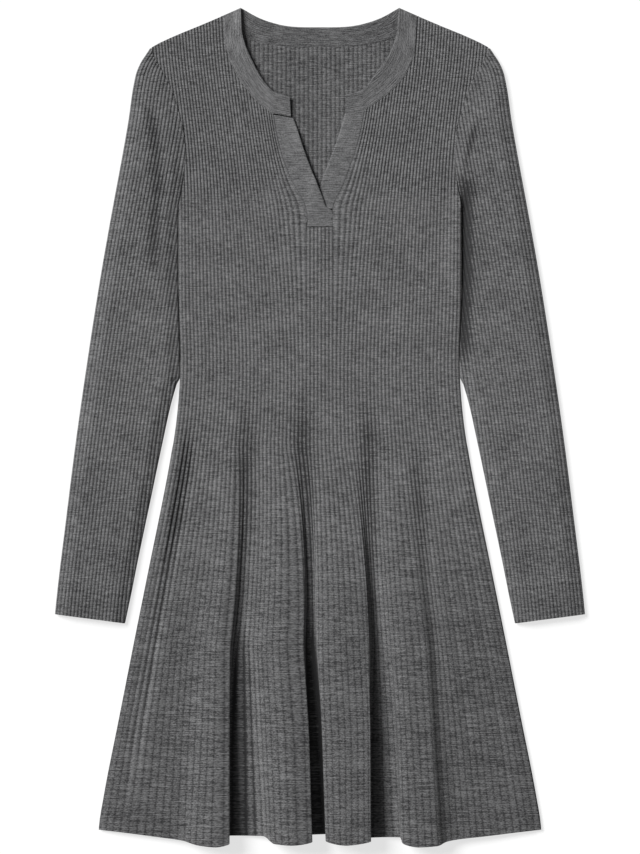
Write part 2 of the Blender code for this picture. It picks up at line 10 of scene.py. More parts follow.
import bmesh
import bpy
import numpy as np
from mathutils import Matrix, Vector


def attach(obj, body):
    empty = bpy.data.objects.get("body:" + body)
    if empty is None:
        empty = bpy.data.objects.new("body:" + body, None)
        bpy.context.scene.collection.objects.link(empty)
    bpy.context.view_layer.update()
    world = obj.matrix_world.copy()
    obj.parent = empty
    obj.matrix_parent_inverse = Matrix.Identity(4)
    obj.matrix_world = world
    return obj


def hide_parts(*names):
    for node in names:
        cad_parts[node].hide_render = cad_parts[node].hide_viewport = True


MM = 0.001
LENGTH = 898.0
WALL = 2.0
BAND_WALL = 2.7
GAP = 0.3
SEAM = 0.05
# How far the free edges of the front neckband and the left placket curl up, over which shares of the
# neckband that begins, how many times as far it is by the left shoulder, and over which shares that ends
EDGE_RISE = 2.8
EDGE_RISE_SHARES = (-0.05, 0.12)
SHOULDER_CURL = 1.6
SHOULDER_CURL_SHARES = (0.25, 0.6)
BACK_TOP = WALL
FRONT_UNDER = BACK_TOP + GAP
FRONT_TOP = FRONT_UNDER + WALL
# The least that the front's outer face stands over its underside
THIN = 0.6
# How far the outer faces of front and back drop by their side seams: the front's over its last ribs and
# over a length below the armpit, the back's from a share of its half width on
FRONT_DROP = 1.2
FRONT_DROP_RIBS = 1.2
FRONT_DROP_START = 8
BACK_DROP = 0.8
BACK_DROP_SHARE = 0.985

# The front's ribs by the side seam, at the shoulder's end and by the slit, and the rib count that the edge
# sewn to a placket shows, so that no groove runs along it
LAST_RIB = 37.5
LAST_SHOULDER_RIB = 42.5
SLIT_RIB = 3.5
SEWN_RIB = SLIT_RIB + 0.3
# Over how many ribs the slit's edge bends those beside it, and over which length below the slit that ends
SLIT_REACH = 3.0
SLIT_FADE = 60
# How much of the fan the outermost ribs keep at the shoulder, and where that starts to fade
OUTER_LEAN = 0.38
OUTER_LEAN_START = 10
# How far the ribs stand up and their grooves are cut in, and how deep the grooves are in faces that rest
RIB_RISE = 0.6
RIB_CUT = 0.35
BACK_CUT = 0.6
UNDER_CUT = 0.4
# Pitch of the ribs and of the rows of stitches
FRONT_RIB = 4.04
BACK_RIB = 4.8
SLEEVE_RIB = 3.85
COURSE = 2.0
# How deep the back's ribs look, which also paints the back darker as shade where it shows inside the
# neck, and where its yarn starts, so that it isn't the front's
BACK_RIBS_AND_SHADE = 0.62
BACK_YARN = 700.0
# Air in a sleeve: its height at the edges, how much more it is in the middle, and how far from the edges
# and from the top that is reached
SLEEVE_GAP = 1.0
SLEEVE_CROWN = 3.6
CROWN_WIDTH = 16.0
CROWN_REACH = 60.0
# How far in from its edges a sleeve is rounded off, and the margin of its columns under it, as a share
SLEEVE_ROUND = 3.0
UNDER_MARGIN = 0.03

HEM_DOWN = 886.0
SLIT_DOWN = 235.0
WAIST_DOWN = 470.0
ARMPIT_DOWN = 211.7
# How far the rows of the chest slant down to the sides, and where that has faded away
CHEST_SLANT = 30.0
SLANT_END = 440.0
# Where the lower and upper part of a panel's yoke meet on a column that doesn't cross the armhole, how far
# from there their nearest rows are, and the least height of the upper part
FRONT_TOUCH = 128.0
BACK_TOUCH = 158.0
TOUCH_REACH = 2.5
LEAST_YOKE = 0.6
# How much higher the back's hem is, how far the hem bows up to the sides, and the step in which crossings
# are looked for
BACK_HEM_LIFT = 2.0
HEM_BOW = 5.5
STEP_DOWN = 0.1

# Half width of the body: (down, half)
SIDE = [
    (212, 151.5), (310, 151.4), (400, 150.2), (442, 153.8), (485, 160.3), (528, 168.3), (592, 181.2),
    (678, 198.3), (764, 215.0), (850, 231.6), (881, 236.6), (900, 238.0),
]
# Shoulder line and the outer edge of the sleeve down to the cuff: (down, half)
SLEEVE_OUTER = [
    (43.4, 182.3), (49.9, 186.5), (56.3, 190.8), (69.1, 196.7), (82.0, 199.6), (120.6, 205.3),
    (163.5, 212.8), (206.4, 220.8), (292, 235.9), (378, 249.3), (464, 261.6), (549, 272.3),
    (635, 282.6), (660, 285.0),
]
# Inner edge of the sleeve where it hangs clear of the body: (down, half)
SLEEVE_INNER = [
    (399.3, 152.4), (421, 158.7), (464, 168.3), (528, 181.7), (592, 195.1), (635, 203.7), (660, 209.0),
]
CUFF_OUTER_DOWN = 649.6
CUFF_INNER_DOWN = 659.3
# A faint dark line of deeper ribs across each cuff: how far above its edge it lies, how much deeper its
# ribs look, its width, and how far and over which length it wavers
CUFF_LINE = {-1: 27.0, 1: 35.0}
CUFF_LINE_RIBS = 0.9
CUFF_LINE_WIDTH = 3.2
CUFF_LINE_WAVE = (1.5, 6.0)
# How much less deep the sleeve's ribs look by the cuff, and between which heights that comes
CUFF_RIB_FADE = 0.4
CUFF_RIB_FADES = (420.0, 640.0)
# Seam between body and sleeve: (down, half)
ARMHOLE = [
    (43.4, 182.3), (56.3, 175.8), (71.3, 167.2), (87.4, 159.2), (112.0, 151.2), (131.3, 146.9),
    (158.1, 144.7), (179.6, 145.8), (211.7, 151.2),
]
ARMHOLE_WAIST = 158.1
# From which share of its half width a panel's columns can end at the armhole, and how near to it they do
ARMHOLE_SHARE = 0.85
ARMHOLE_NEAR = 2.5
# How far under the armpit a sleeve's columns are followed from, up to where they start
TOPS_REACH = 30.0
# Top edge from the neck point to the shoulder tip: (half, down)
SHOULDER = [
    (84.6, 0.0), (96.5, 4.8), (104.0, 8.4), (125.4, 17.7), (156.5, 30.6), (170.5, 37.0), (182.3, 43.4),
]
# Where the neckband's seam meets the shoulder line, and how far before that the panels' own points stop
NECKBAND_END, NECKBAND_END_DOWN = 104.0, 8.4
NECKBAND_STOP = 0.5
# Seam of the front under the neckband: (half, down)
NECK_SEAM = {
    -1: [(50.4, 113.6), (66.7, 101.3), (80.4, 84.9), (94.3, 62.7), (100.9, 41.3), (104.0, 8.4)],
    1: [(48.0, 110.0), (56.4, 104.1), (75.0, 90.6), (91.9, 71.3), (101.4, 46.6), (104.0, 8.4)],
}
# Free edge of the neckband, from the neck point to the slit: (half, down)
NECK_EDGE = {
    -1: [(84.6, 0.0), (84.5, 19.3), (80.4, 38.5), (72.2, 57.4), (61.2, 76.7), (50.4, 89.1), (32.6, 95.3)],
    1: [(84.6, 0.0), (82.3, 27.3), (75.5, 46.6), (59.0, 71.3), (45.3, 87.7), (27.7, 93.2)],
}
# Edge of the front along the slit, and above it the way in which the nearest rib runs on: (down, half)
SLIT_EDGE = {
    -1: [
        (0, 56.5), (60, 54.5), (115, 50.0), (161.3, 39.7), (188.9, 28.4), (206.4, 18.2), (219, 14.3),
        (235, 14.1),
    ],
    1: [
        (0, 54.0), (60, 52.0), (110, 47.8), (154.3, 37.5), (173.5, 30.9), (191.3, 24.0), (212, 14.4),
        (235, 14.1),
    ],
}
# How far the front's ribs fan out from upright, away from the slit: (down, mm)
FAN = [(0, 42.0), (60, 38.0), (120, 30.0), (180, 20.0), (235, 11.5), (300, 4.5), (370, 0.8), (420, 0.0)]
# Where the neckband ends at the slit, and the seam of the placket under it: (half, down)
BAND_CORNER = {-1: (31.2, 117.4), 1: (27.0, 113.0)}
# How far the neckband's end stands off the placket's top
JOINT = {-1: 0.7, 1: 0.0}
# How far the sleeves lie beside the body
BESIDE = 0.1
# Free edge of each placket, as a signed place across: (down, x)
PLACKET_EDGE = {
    -1: [
        (113.4, -30.1), (128.1, -24.7), (148.0, -18.4), (171.0, -10.0), (190.6, -1.9), (206.0, 4.2),
        (213.4, 7.2), (217.0, 12.6), (220.0, 13.9), (226.0, 14.0), (235.0, 14.0),
    ],
    1: [(113.3, 26.6), (132.4, 21.3), (162.4, 10.4), (191.4, 0.0), (214.0, -4.0)],
}
# First and last height of each placket, the height at which its sewn edge starts, and the length over which
# that edge's heights run on into the placket's own
PLACKET_ENDS = {-1: (118.0, 234.2, 114.6), 1: (112.6, 215.0, 109.8)}
SEWN_START = 9
# Where the right placket comes down from the neckband's thickness to its own, below its first height
LEVEL_DOWNS = (-3.0, 15.0)
# Where the left placket's curl ends, and over which lengths it comes and goes
PLACKET_RISE = (205.0, 25.0, 20.0)
# Where the left placket rises over the right one: from and to which height, over which lengths it comes and
# goes, and how far from the right one's free edge it starts and is full
LAP = (160.0, 229.0, 25.0, 19.0)
LAP_ACROSS = (-13.0, -4.5)
# How far in from the side a band's long edges are rounded, how far down on its sewn and its free edge, and
# how much less down the free edge of the tab, between which heights that comes
BAND_ROUND = 1.6
SEWN_ROUND = 0.25
FREE_ROUND = 0.8
TAB_ROUND_LESS = 0.5
TAB_TOPS = (208.0, 218.0)
# Back neck: seam under the band and the band's free edge: (half, down)
BACK_SEAM = [(0.0, 42.0), (43.0, 40.3), (80.0, 31.0), (95.0, 20.5), (104.0, 8.4)]
BACK_EDGE = [(0.0, 20.6), (43.0, 17.8), (64.3, 11.0), (84.6, 0.0)]

# Lines that the skirt folds along, each on one rib all the way up: name, rib, place across at three
# heights (down 680, 770 and 886), how far the cloth stands up there (down 680 and 886), how far its hem
# hangs below the hem's own bow, and how far the foot of a flute's wall is tucked in under the flute.
FOLD_DOWNS = (680.0, 770.0, 886.0)
TUCK_DOWNS = (620.0, 820.0)
FOLD_COLUMNS = ("line", "rib", "x_680", "x_770", "x_886", "rise_680", "rise_886", "hang", "tuck")
FOLD_LINES = [
    ("left slope", -34.5, -182.0, -198.0, -214.0, 1.0, 2.0, 1.5, 0.0),
    ("left plain", -29.5, -153.0, -161.0, -170.0, 2.0, 3.0, 5.5, 0.0),
    ("flute 1 foot", -27.0, -138.0, -144.0, -149.0, 3.0, 5.0, 7.6, 0.0),
    ("flute 1 rise", -24.0, -120.0, -123.0, -129.0, 8.0, 17.0, 12.0, 0.0),
    ("flute 1 crest", -22.0, -108.0, -109.0, -111.0, 11.0, 20.0, 13.2, 0.0),
    ("flute 1 edge", -20.9, -96.5, -96.5, -96.5, 10.0, 19.5, 9.0, 0.0),
    ("valley 1 wall", -19.2, -90.0, -93.0, -93.0, 1.5, 1.5, 2.0, -8.0),
    ("valley 1 floor", -17.6, -82.0, -81.0, -80.0, 0.0, 0.0, 1.4, 0.0),
    ("flute 2 foot", -15.6, -72.0, -68.0, -62.0, 2.0, 3.0, 1.4, 0.0),
    ("flute 2 rise", -12.6, -58.0, -53.0, -48.0, 9.0, 19.0, 8.8, 0.0),
    ("flute 2 crest", -10.0, -40.0, -33.0, -29.0, 14.0, 25.0, 9.8, 0.0),
    ("flute 2 edge", -7.6, -17.5, -11.5, -8.0, 12.0, 22.5, 5.6, 0.0),
    ("valley 2 wall", -5.6, -14.5, -9.0, -5.5, 2.0, 1.5, 0.0, -6.0),
    ("valley 2 floor", -4.3, -7.5, -1.5, 2.5, 1.5, 1.0, -1.0, 6.0),
    ("flute 3 edge", -1.8, -2.5, 2.0, 6.0, 8.5, 20.5, 4.5, 0.0),
    ("flute 3 crest", 2.5, 22.0, 27.0, 28.0, 14.0, 25.0, 9.8, 0.0),
    ("flute 3 far edge", 7.6, 52.0, 54.0, 54.5, 13.0, 23.0, 5.5, 0.0),
    ("valley 3 wall", 10.6, 57.5, 57.5, 57.5, 2.0, 2.0, 3.4, -7.0),
    ("valley 3 floor", 12.6, 63.0, 67.0, 70.0, 0.0, 0.0, 2.9, 0.0),
    ("flute 4 foot", 14.6, 72.0, 79.0, 85.5, 2.0, 4.0, 3.0, 0.0),
    ("flute 4 edge", 16.2, 79.0, 85.0, 88.5, 6.0, 16.0, 8.8, 0.0),
    ("flute 4 crest", 18.6, 93.0, 99.0, 106.0, 9.4, 18.6, 13.2, 0.0),
    ("flute 4 fall", 21.2, 112.0, 118.0, 125.0, 9.2, 17.4, 12.4, 0.0),
    ("valley 4 floor", 23.6, 123.0, 128.5, 136.0, 4.2, 9.4, 8.4, 0.0),
    ("right rise", 25.8, 132.0, 141.0, 150.0, 2.8, 5.5, 6.4, 0.0),
    ("right plain", 29.5, 152.0, 164.0, 176.0, 2.0, 4.0, 4.5, 0.0),
    ("right slope", 34.2, 180.0, 196.0, 213.0, 1.0, 2.0, 1.5, 0.0),
]
FOLDS = {name: np.array([row[i + 1] for row in FOLD_LINES]) for i, name in enumerate(FOLD_COLUMNS[1:])}

# Pleat creases pressed along one groove of the skirt: rib, down where it starts and ends, depth. Half the
# width of each in ribs, and the lengths over which it comes and goes
PLEAT_WIDTH = 0.4
PLEAT_FADES = (60, 90)
PLEATS = [
    (-35.5, 560, 870, 0.9), (-34.5, 440, 880, 1.9), (-33.5, 440, 850, 1.9), (-32.5, 440, 660, 1.3),
    (-31.5, 450, 620, 0.5), (-29.5, 640, 800, 0.4), (28.5, 560, 860, 0.6), (31.5, 520, 760, 0.5),
    (33.5, 560, 880, 0.7), (36.5, 480, 960, 0.8),
]
# Where the front's ribs are gathered, above the valleys, in two of them and by the left side: rib, down
# where it starts and ends, half its width in ribs, how much deeper its ribs look and how far the cloth is
# pressed in. The deeper look is partly the gathered knit's own and partly painted shade in the valleys; the
# last two, which press nothing in and run down to the hem, only paint shade on two valley floors. The
# lengths over which each comes and goes
GATHER_FADES = (80, 130)
GATHERS_AND_SHADE = [
    (-33.8, 430, 860, 1.7, 1.1, 0.0), (-19.0, 410, 800, 2.2, 0.8, 1.1), (-4.3, 400, 800, 2.2, 0.9, 1.3),
    (12.4, 400, 760, 2.0, 0.72, 1.1), (24.4, 450, 820, 1.8, 0.56, 0.8), (-17.4, 640, 1060, 2.4, 1.4, 0.0),
    (-4.4, 640, 1060, 1.8, 2.4, 0.0),
]
# Soft creases of the sleeves, each a line of points (down, half) with a depth, a width and how much deeper
# its ribs look, which also paints shade into the crease, most of all in the right sleeve's crease beside
# the body's edge, where the body's shadow falls. The lengths over which each comes and goes
CREASE_FADES = (30, 60)
SLEEVE_CREASES = {
    -1: [([(98, 185.5), (106.7, 183.3), (178.5, 173.0), (239.6, 177.1), (301.8, 179.1)], 1.4, 6.5, 0.7)],
    1: [
        ([(110, 172.0), (127.0, 167.8), (162.0, 157.6), (198.9, 153.3)], 1.4, 4.0, 0.9),
        ([(172, 159.0), (195, 157.5), (215, 156.5), (260, 156.5), (400, 153.0)], 2.3, 7.5, 2.2),
    ],
}
# How far the front stands up along its right side, over the sleeve's crease, from and to which height, over
# which lengths that comes and goes, and how many ribs from the side seam it starts and is full
SIDE_SWELL = 3.4
SIDE_SWELLS = (180.0, 380.0, 45.0, 120.0)
SIDE_SWELL_RIBS = (6.0, 1.0)

# How much of the ribs' relief and of their look is lost down the skirt, where the cloth is stretched, and
# between which heights
SKIRT_RIB_FADE = 0.85
SKIRT_LOOK_FADE = 0.75
SKIRT_RIB_FADES = (480.0, 700.0)

SKIRT_ROWS = 66
YOKE_LOW_ROWS = 26
YOKE_TOP_ROWS = 18
COLUMNS_A_RIB = 4
# Half of the back's columns up to the side seam, and the places of those beside its shoulder
BACK_COLUMNS = 127
BACK_SHOULDER_COLUMNS = np.arange(152.7, 178.1, 1.2)
SLEEVE_TOP_COLUMNS = 132
SLEEVE_UNDER_COLUMNS = 26
SLEEVE_ROWS = 150
BAND_COLUMNS = 13
BAND_CORNER_ROWS = 15
PLACKET_ROWS = 90
# Edges between faces at a larger angle than this, in degrees, stay sharp
SHARP = 82

# The yarn's mottling: how fast each noise runs across and along the knit, its seed, detail and roughness
STREAKS = (0.08, 0.85, 3.1, 4.0, 0.65)
GRAIN = (0.9, 1.1, 9.7, 2.0, 0.6)
PATCHES = (0.02, 0.04, 21.0, 2.0, 0.5)
# The mean tone between dark and light yarn, and how far each noise takes it from there
MIDDLE_TONE = 0.54
STREAK_TONES = 1.7
GRAIN_TONES = 1.6
PATCH_TONES = 0.3
# Power that narrows a groove's form, which sets its painted shade and its relief, and how much of both
# stays where the ribs are stretched flat
GROOVE_POWER = 0.65
FLAT_GROOVE = 0.6
# The relief of the yarn, its stitches and its grooves in the bump, and how strong and deep in metres it is
GRAIN_RELIEF = 0.5
STREAK_RELIEF = 0.4
COURSE_RELIEF = 0.12
GROOVE_RELIEF = 0.6
BUMP = (0.45, 0.0008)

# The floor's half size and height, in metres, its grey and its glow
FLOOR_REACH = 30.0
FLOOR_HEIGHT = -0.0004
FLOOR_GREY = 0.29
FLOOR_GLOW = 0.7
# The surroundings' glow, and the sun's energy, angle in degrees and way
SURROUNDINGS = 0.16
SUN_ENERGY = 4.85
SUN_ANGLE = 30
SUN_WAY = (1.0, -0.7, -1.05)

# What was cut, without the ribs' relief and all round on a sleeve: width and length in metres of the
# rectangle round each flat piece, and the piece's own area
CUTS = {
    "front_panel": ((0.612, 0.901), 0.3025),
    "back_panel": ((0.476, 0.882), 0.2986),
    "sleeve_left": ((0.16, 0.63), 0.0977),
    "sleeve_right": ((0.16, 0.63), 0.0976),
    "neckband_back": ((0.23, 0.027), 0.0047),
    "neckband_front_left": ((0.143, 0.025), 0.0027),
    "neckband_front_right": ((0.145, 0.028), 0.0030),
    "placket_left": ((0.127, 0.029), 0.0030),
    "placket_right": ((0.111, 0.026), 0.0024),
}


def cubic(at, xs, ys, slopes):
    """A curve through points with a given slope at each: a cubic between each two of them."""
    at = np.clip(at, xs[0], xs[-1])
    i = np.clip(np.searchsorted(xs, at, side="right") - 1, 0, len(xs) - 2)
    span = xs[i + 1] - xs[i]
    t = (at - xs[i]) / span
    return (
        ys[i] * (1 + 2 * t) * (1 - t) ** 2
        + ys[i + 1] * t**2 * (3 - 2 * t)
        + span * (slopes[i] * t * (1 - t) ** 2 - slopes[i + 1] * t**2 * (1 - t))
    )


def smooth(table, at):
    """A smooth curve through the rows of a table, read at the first column, with the slopes that the
    neighbouring rows give."""
    xs, ys = np.array(table, float).T
    return cubic(at, xs, ys, np.gradient(ys, xs))


def even(at, xs, ys):
    """A curve through points that never overshoots them: each point's slope is the harmonic mean of those
    of its two neighbouring stretches, and 0 at a crest or a trough."""
    steps = np.diff(ys) / np.diff(xs)
    a, b = steps[:-1], steps[1:]
    inner = np.where(a * b > 0, 2 * a * b / np.where(a * b > 0, a + b, 1.0), 0.0)
    return cubic(at, xs, ys, np.concatenate([[steps[0]], inner, [steps[-1]]]))


def ease(value, start, end):
    """0 before start, 1 after end, and a smooth step between them."""
    t = np.clip((value - start) / (end - start), 0.0, 1.0)
    return t * t * (3 - 2 * t)


def between(value, start, end, coming, going):
    """0 outside start and end and 1 well between them, with a smooth step over a length inside each."""
    return ease(value, start, start + coming) * (1 - ease(value, end - going, end))


def hump(value, middle, width):
    """A bell: 1 at the middle, falling off as the square of the distance over the width."""
    return np.exp(-(((value - middle) / width) ** 2))


def rounded(distance, reach):
    """A quarter of an ellipse: 0 at an edge, rising to 1 at reach from it."""
    return np.sqrt(1 - (1 - np.clip(distance / reach, 0.0, 1.0)) ** 2)


def rib_form(rib):
    """Height of the knit across its ribs, from 0 in a groove to 1 on a crest: broad round crests with a
    narrow groove between them."""
    return np.abs(np.cos(np.pi * rib)) ** 0.6


def shares_along(points):
    """How far along a line each of its points lies, from 0 to 1."""
    run = np.concatenate([[0.0], np.cumsum(np.linalg.norm(np.diff(points, axis=0), axis=1))])
    return run / run[-1]


def along_line(table, shares):
    """Points of the smooth line through a table's points, at shares of its length."""
    points = np.array(table, float)
    run = shares_along(points)
    return np.stack([smooth(np.stack([run, column], axis=1), shares) for column in points.T], axis=1)


def shifted(points, distance):
    """A line of points (x, down) moved by a distance along the normal at each point, which points up the
    dress where the line runs to the right."""
    along = np.gradient(points, axis=0)
    along /= np.linalg.norm(along, axis=1, keepdims=True)
    return points + distance * np.stack([along[:, 1], -along[:, 0]], axis=1)


def placed(x, down, z):
    """Points of a grid: x across, down from the neck points and z up, as x, y, z."""
    x, down, z = np.broadcast_arrays(x, down, z)
    return np.stack([x, LENGTH / 2 - down, z], axis=-1)


def shell_faces(rows, columns, kept, ring):
    """The faces of a closed shell between two grids of points, the outer grid's numbered first: the kept
    cells of both, and a rim along every edge where these end. A ring's last column joins its first."""
    index = np.arange(rows * columns).reshape(rows, columns)
    right = np.roll(index, -1, axis=1)
    corners = np.stack([index[:-1], right[:-1], right[1:], index[1:]], axis=-1)
    corners = corners if ring else corners[:, :-1]
    corners = corners.reshape(-1, 4) if kept is None else corners[kept]
    edges = np.concatenate([corners[:, [0, 1]], corners[:, [1, 2]], corners[:, [2, 3]], corners[:, [3, 0]]])
    under = rows * columns
    keys, back_keys = edges[:, 0] * under + edges[:, 1], edges[:, 1] * under + edges[:, 0]
    a, b = edges[~np.isin(keys, back_keys)].T
    rim = np.stack([b, a, a + under, b + under], axis=1)
    return np.concatenate([corners, corners[:, ::-1] + under, rim])


def knit_piece(node, slot, outer, inner, cloth, ribs_and_painted_shade, kept=None, ring=False):
    """A closed shell between two grids of points, rows by columns, which replaces the solid of its node.
    cloth gives each point its rib count, its place across the knit and its place along it, and the argument
    after it how deep the ribs look there, which also carries painted shade in creases, valleys and inside
    the neck."""
    used, faces = np.unique(shell_faces(*outer.shape[:2], kept, ring), return_inverse=True)
    faces = faces.reshape(-1, 4)
    points = np.concatenate([outer.reshape(-1, 3), inner.reshape(-1, 3)])[used] * MM
    mesh = bpy.data.meshes.new(f"{node}_knit")
    mesh.vertices.add(len(points))
    mesh.vertices.foreach_set("co", points.astype(np.float32).ravel())
    mesh.loops.add(faces.size)
    mesh.loops.foreach_set("vertex_index", faces.astype(np.int32).ravel())
    mesh.polygons.add(len(faces))
    mesh.polygons.foreach_set("loop_start", np.arange(0, faces.size, 4, dtype=np.int32))
    mesh.update(calc_edges=True)
    shell = bmesh.new()
    shell.from_mesh(mesh)
    bmesh.ops.recalc_face_normals(shell, faces=shell.faces)
    shell.to_mesh(mesh)
    shell.free()
    mesh.shade_smooth()
    mesh.set_sharp_from_angle(angle=np.radians(SHARP))
    place = np.concatenate([np.broadcast_to(cloth, outer.shape).reshape(-1, 3)] * 2)[used]
    mesh.attributes.new("cloth", "FLOAT_VECTOR", "POINT").data.foreach_set(
        "vector", place.astype(np.float32).ravel()
    )
    depth = np.concatenate([np.broadcast_to(ribs_and_painted_shade, outer.shape[:2]).ravel()] * 2)[used]
    mesh.attributes.new("ribs_and_painted_shade", "FLOAT", "POINT").data.foreach_set("value", depth.astype(np.float32))
    mesh.materials.append(MATERIALS[slot])
    piece = bpy.data.objects.new(f"{node}_knit", mesh)
    bpy.context.scene.collection.objects.link(piece)
    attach(piece, "root")
    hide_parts(node)
    (width, length), area = CUTS[node]


def neck_and_shoulder(x, seam):
    """How far down the top edge of a panel is at each place across: its neck seam, then the shoulder. The
    seam is nearly upright beside the shoulder, so it is smoothed along its length, not across."""
    half = np.abs(x)
    halves, downs = along_line(seam, np.linspace(0.0, 1.0, 60)).T
    return np.where(half < NECKBAND_END, np.interp(half, halves, downs), smooth(SHOULDER, half))


def yoke_downs(across, starts, seam, touch):
    """Heights of the yoke's rows on each column above the chest, and which columns cross the armhole. The
    rows go evenly up to where a column leaves the body at the armhole, then from where it comes back in
    above it up to the top edge. On a column that never leaves, those two heights lie just under and over
    touch. across(down) gives every column's place."""
    downs = np.arange(SLIT_DOWN + CHEST_SLANT, -0.01, -STEP_DOWN)
    xs = np.array([across(down) for down in downs])
    past = (np.abs(xs) > smooth(ARMHOLE, downs)[:, None] - 1e-6) & (downs[:, None] < ARMPIT_DOWN)
    crosses = past.any(axis=0)
    leaves = downs[np.maximum(np.argmax(past, axis=0) - 1, 0)]
    returns = downs[len(downs) - np.argmax(past[::-1], axis=0) - 1] - STEP_DOWN
    leaves = np.where(crosses, np.maximum(leaves, touch + TOUCH_REACH), touch + TOUCH_REACH)
    returns = np.where(crosses, np.minimum(returns, touch - TOUCH_REACH), touch - TOUCH_REACH)
    above = (downs[:, None] < returns) & (downs[:, None] <= neck_and_shoulder(xs, seam))
    tops = np.where(above.any(axis=0), downs[np.argmax(above, axis=0)], returns)
    low = np.linspace(0, 1, YOKE_LOW_ROWS + 1)[1:, None]
    high = np.linspace(0, 1, YOKE_TOP_ROWS)[:, None]
    return np.concatenate([starts + (leaves - starts) * low, returns + (tops - returns) * high]), crosses


def rib_places(rib, down, side):
    """Places across of the front's ribs above the waist: evenly spaced over the width, and on one side of
    the slit (-1 or 1) leaning away from it. The nearest ribs follow its sewn edge, and the others fan out
    softly, least of all at the side seam."""
    pitch = smooth(SIDE, np.maximum(down, ARMPIT_DOWN)) / LAST_RIB
    slit_edge = smooth(SLIT_EDGE[side], np.minimum(down, SLIT_DOWN))
    sewn = slit_edge - SLIT_RIB * smooth(SIDE, SLIT_DOWN) / LAST_RIB
    from_slit = np.maximum(side * rib - SLIT_RIB, 0.0)
    near = np.exp(-from_slit / SLIT_REACH)
    lean = near * sewn * (1 - ease(down, SLIT_DOWN, SLIT_DOWN + SLIT_FADE)) + (1 - near) * smooth(FAN, down)
    outer = OUTER_LEAN * (1 - ease(down, OUTER_LEAN_START, ARMPIT_DOWN))
    share = 1 - (1 - outer) * from_slit / (LAST_RIB - SLIT_RIB)
    half = side * rib * pitch + lean * np.clip(share, 0.0, 1.0)
    at_side = (down >= ARMPIT_DOWN) & (np.abs(rib) <= LAST_RIB)
    return side * np.where(at_side, np.minimum(half, smooth(SIDE, down)), half)


def skirt_section(rib, down):
    """One section across the skirt: places across, rises and hangs of the ribs at a height below the
    waist. The fold lines carry all three, and a cubic that doesn't overshoot joins them into rounded
    flutes. Above their first height a line moves off its rib's plain place by a share of how far it lies
    from it there. The walls are tucked in under their flutes the further down they are."""
    first = FOLD_DOWNS[0]
    tabled = max(down, first)
    lines = np.stack([FOLDS["x_680"], FOLDS["x_770"], FOLDS["x_886"]], axis=1)
    folded = np.array([np.interp(tabled, FOLD_DOWNS, x) for x in lines])
    begun = np.clip((down - WAIST_DOWN) / (first - WAIST_DOWN), 0.0, 1.0)
    moved = folded - FOLDS["rib"] * smooth(SIDE, tabled) / LAST_RIB
    x_lines = FOLDS["rib"] * smooth(SIDE, down) / LAST_RIB + (1 - (1 - begun) ** 2) * moved
    x_lines += FOLDS["tuck"] * ease(down, *TUCK_DOWNS)
    deeper = np.clip((down - first) / (HEM_DOWN - first), 0.0, 1.0)
    rises = begun * FOLDS["rise_680"] + deeper * (FOLDS["rise_886"] - FOLDS["rise_680"])
    edge = smooth(SIDE, down)
    ribs = np.concatenate([[-LAST_RIB], FOLDS["rib"], [LAST_RIB]])
    return (
        even(rib, ribs, np.concatenate([[-edge], x_lines, [edge]])),
        even(rib, ribs, np.concatenate([[0.0], rises, [0.0]])),
        even(rib, ribs, np.concatenate([[0.0], FOLDS["hang"], [0.0]])),
    )


def hem_drop(x, hang, down):
    """How much further down a point of the skirt lies, so that the hem bows and each flute hangs lower."""
    at_hem = hang - HEM_BOW * (x / SIDE[-2][1]) ** 2
    return at_hem * np.clip((down - WAIST_DOWN) / (HEM_DOWN - WAIST_DOWN), 0.0, 1.0)


def panel_grid(columns, last, lower, yoke, starts, seam, touch, slit=0.0):
    """Points x, down and rises of a panel, rows from the hem to the top edge, and its kept cells. columns
    number the panel's columns, and those past last lie only beside the shoulder, above the armhole.
    lower(down) gives places, heights and rises of a row below the yoke, yoke(side, down) places in it, and
    the columns within slit stop at the yoke's foot."""
    rows = [lower(down) for down in np.linspace(HEM_DOWN, SLIT_DOWN, SKIRT_ROWS)]
    x, down, rise = (np.array([row[i] for row in rows]) for i in range(3))
    yoke_rows = YOKE_LOW_ROWS + YOKE_TOP_ROWS
    yoke_x, yoke_down = np.zeros((yoke_rows, len(columns))), np.zeros((yoke_rows, len(columns)))
    crosses = np.zeros(len(columns), bool)
    for side in (-1, 1):
        on = side * columns >= slit
        yoke_down[:, on], crosses[on] = yoke_downs(
            lambda at: yoke(side, columns[on], at), starts[on], seam[side], touch
        )
        yoke_x[:, on] = yoke(side, columns[on], yoke_down[:, on])
    x, down = np.concatenate([x, yoke_x]), np.concatenate([down, yoke_down])
    rise = np.concatenate([rise, np.zeros_like(yoke_x)])
    middle = np.abs(columns[1:] + columns[:-1]) / 2
    kept = np.ones((len(x) - 1, len(columns) - 1), bool)
    first, hinge = SKIRT_ROWS - 1, SKIRT_ROWS - 1 + YOKE_LOW_ROWS
    kept[:hinge, middle > last] = False
    kept[first:, middle < slit] = False
    kept[hinge, crosses[1:] | crosses[:-1]] = False
    short = yoke_down[YOKE_LOW_ROWS] - yoke_down[-1] < LEAST_YOKE
    kept[hinge + 1 :, short[1:] | short[:-1]] = False
    return x, down, rise, kept


def gathered(rib, down):
    """How much deeper the front's ribs look at each point for being gathered, which also paints shade in
    the valleys, and how far the cloth is pressed in there: a bell across each gather, fading out at both of
    its ends."""
    deeper, pressed = np.zeros((2, *np.broadcast(rib, down).shape))
    for middle, start, end, width, ribs, press in GATHERS_AND_SHADE:
        bell = hump(rib, middle, width) * between(down, start, end, *GATHER_FADES)
        deeper += ribs * bell
        pressed += press * bell
    return deeper, pressed


